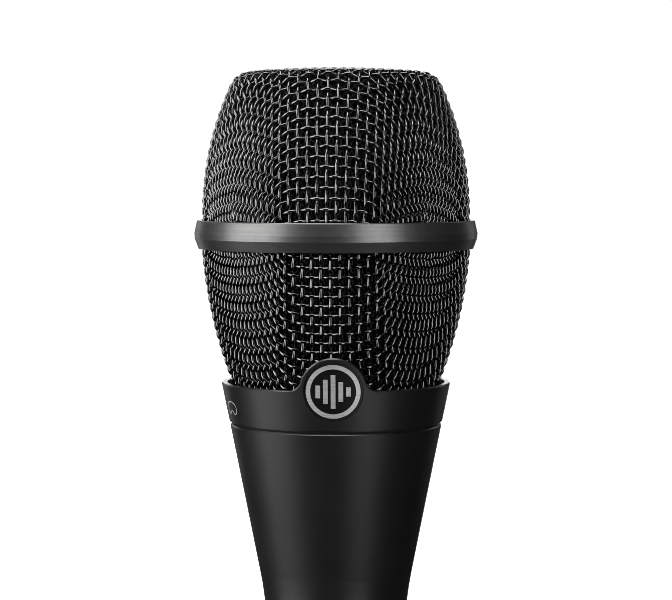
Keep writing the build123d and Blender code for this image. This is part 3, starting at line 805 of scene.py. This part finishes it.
def build_foam():
    """Open-cell foam liners."""
    outer, inner = FOAM_DEPTH
    foot = low("foam_liner_upper")
    skin, lining = upper_section(outer, foot), upper_section(inner, foot)
    rings = even_points(skin, FOAM_POLE, skin.along[-1])
    rings += even_points(lining, lining.along[-1], FOAM_POLE)
    upper = foam_mesh("foam_upper", rings, True)
    bottom, top = low("foam_liner_lower"), high("foam_liner_lower")
    skin, lining = (wall_points(smaller(LOWER_WALL, depth), bottom, top) for depth in FOAM_DEPTH)
    lower = foam_mesh("foam_lower", lining[::-1] + skin, False)
    place(upper, "grille_foam", "foam", MATERIALS["foam"], "foam_liner_upper")
    place(lower, "grille_foam", "foam", MATERIALS["foam"], "foam_liner_lower")


def wall_points(wall, bottom, top):
    heights = np.linspace(bottom, top, int((top - bottom) / FOAM_STEP))
    return [(wall[0] + sqrt(wall[2] ** 2 - (z - wall[1]) ** 2), z) for z in heights]


def collar_mark():
    """Cardioid sign printed on the left of the collar, the usual mark for a microphone's pickup pattern."""
    collar = frame["nodes"]["collar"]
    turns = np.linspace(-pi, pi, 81)
    notch = MARK_NOTCH * np.exp(-(((pi - abs(turns)) / MARK_NOTCH_SPREAD) ** 2))
    across, up = MARK_WIDTH / 2 * np.sin(turns), MARK_HEIGHT / 2 * (np.cos(turns) + notch)
    line, out = [], []
    for u, v in zip(across, up):
        height = MARK_CENTRE[1] + v
        angle = MARK_CENTRE[0] + u / (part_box("handle_shell")[1].x / MM)
        way = Vector((sin(angle), -cos(angle), 0))
        found, spot, normal, _ = collar.ray_cast(Vector((0, 0, height * MM)) + way * 0.05, -way)
        line.append(np.array(spot) / MM + np.array(normal) * MARK_LIFT)
        out.append(np.array(normal))
    verts, faces = ribbon(np.array(line), np.array(out), MARK_LINE, MARK_THICKNESS)
    mark = mesh_piece("collar_mark", verts, faces, smooth=False)
    mark.data.materials.append(satin_paint("light_ink", grey(0.55), 0.5, 0.4))
    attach(mark, "root")


def ribbon(line, out, width, thickness):
    """A closed flat strip along a line on a surface."""
    along = np.gradient(line, axis=0)
    along /= np.linalg.norm(along, axis=1)[:, None]
    side = np.cross(along, out) * width / 2
    raised = out * thickness
    verts = np.stack([line - side, line + side, line + side + raised, line - side + raised], 1).reshape(-1, 3)
    last = 4 * (len(line) - 1)
    faces = [
        (k + m, k + (m + 1) % 4, k + 4 + (m + 1) % 4, k + 4 + m) for k in range(0, last, 4) for m in range(4)
    ]
    return verts, faces + [(3, 2, 1, 0), (last, last + 1, last + 2, last + 3)]


# ---------------------------------------------------------------- camera, floor and light
def aim(thing, at):
    thing.rotation_euler = (Vector(at) - thing.location).to_track_quat("-Z", "Y").to_euler()


def make_camera():
    camera = bpy.data.objects.new("camera", bpy.data.cameras.new("camera"))
    camera.data.lens = LENS
    camera.data.sensor_width = 36.0
    camera.data.clip_start, camera.data.clip_end = 0.01, 100.0
    camera.location = Vector((sin(CAMERA_AZIMUTH) * CAMERA_DISTANCE, -cos(CAMERA_AZIMUTH) * CAMERA_DISTANCE,
                              CAMERA_HEIGHT)) * MM
    aim(camera, (0, 0, AIM_HEIGHT * MM))
    bpy.context.scene.collection.objects.link(camera)
    bpy.context.scene.camera = camera


def make_floor():
    """Wide pale floor that shows in the camera but doesn't light the object."""
    half = 20.0 / MM
    corners = [(-half, -half, 0), (half, -half, 0), (half, half, 0), (-half, half, 0)]
    floor = mesh_piece("floor", corners, [(0, 1, 2, 3)])
    finish = Finish("pale_floor", Roughness=0.9, Specular_IOR_Level=0.1)
    tone = finish.colours(finish.grain(400.0), (0.3, grey(0.86)), (0.7, grey(0.9)))
    floor.data.materials.append(finish.link(Base_Color=tone))
    floor.location.z = CAD_BOX[0].z - 0.0001
    for kind in ("diffuse", "glossy", "transmission", "shadow"):
        setattr(floor, "visible_" + kind, False)
    return floor


def softbox(name, azimuth, elevation, distance, width, height, radiance, centre=150.0):
    """A rectangular light that faces the grille. Azimuth 0 is in front, and negative is to the left."""
    lamp = bpy.data.lights.new(name, "AREA")
    lamp.shape = "RECTANGLE"
    lamp.size, lamp.size_y = width, height
    lamp.energy = radiance * pi * width * height
    box = bpy.data.objects.new(name, lamp)
    a, e = radians(azimuth), radians(elevation)
    middle = Vector((0, 0, centre * MM))
    box.location = middle + distance * Vector((sin(a) * cos(e), -cos(a) * cos(e), sin(e)))
    aim(box, middle)
    box.visible_camera = False
    bpy.context.scene.collection.objects.link(box)


def floor_sun(floor):
    """Even light for the floor alone, with the object's soft shadow in it."""
    lamp = bpy.data.lights.new("floor_sun", "SUN")
    lamp.energy = 4.5
    lamp.angle = radians(30)
    sun = bpy.data.objects.new("floor_sun", lamp)
    sun.rotation_euler = (radians(14), radians(-18), 0)
    bpy.context.scene.collection.objects.link(sun)
    only = bpy.data.collections.new("floor_only")
    only.objects.link(floor)
    sun.light_linking.receiver_collection = only


def make_world():
    """White behind the object, and no light from it."""
    world = bpy.data.worlds.new("white")
    world.use_nodes = True
    world.node_tree.nodes["Background"].inputs["Color"].default_value = (1, 1, 1, 1)
    world.node_tree.nodes["Background"].inputs["Strength"].default_value = 1.05
    for kind in ("diffuse", "glossy", "transmission", "scatter"):
        setattr(world.cycles_visibility, kind, False)
    bpy.context.scene.world = world
    bpy.context.scene.view_settings.view_transform = "Standard"
    bpy.context.scene.cycles.filter_width = 0.9


make_camera()
make_world()
floor_sun(make_floor())
softbox("key", -70, 10, 1.0, 0.93, 1.25, 3.3)
softbox("fill", 35, 6, 1.2, 0.6, 1.35, 2.7)
softbox("top", -50, 76, 0.9, 0.9, 0.5, 4.0)
softbox("backdrop", 180, 10, 1.2, 0.5, 1.0, 3.0)
softbox("rim_left", -150, 12, 1.1, 0.25, 1.0, 0.8)
softbox("rim_right", 145, 12, 1.1, 0.25, 1.0, 0.5)

dress_cad_nodes()
build_grille()
build_screens()
build_foam()
collar_mark()
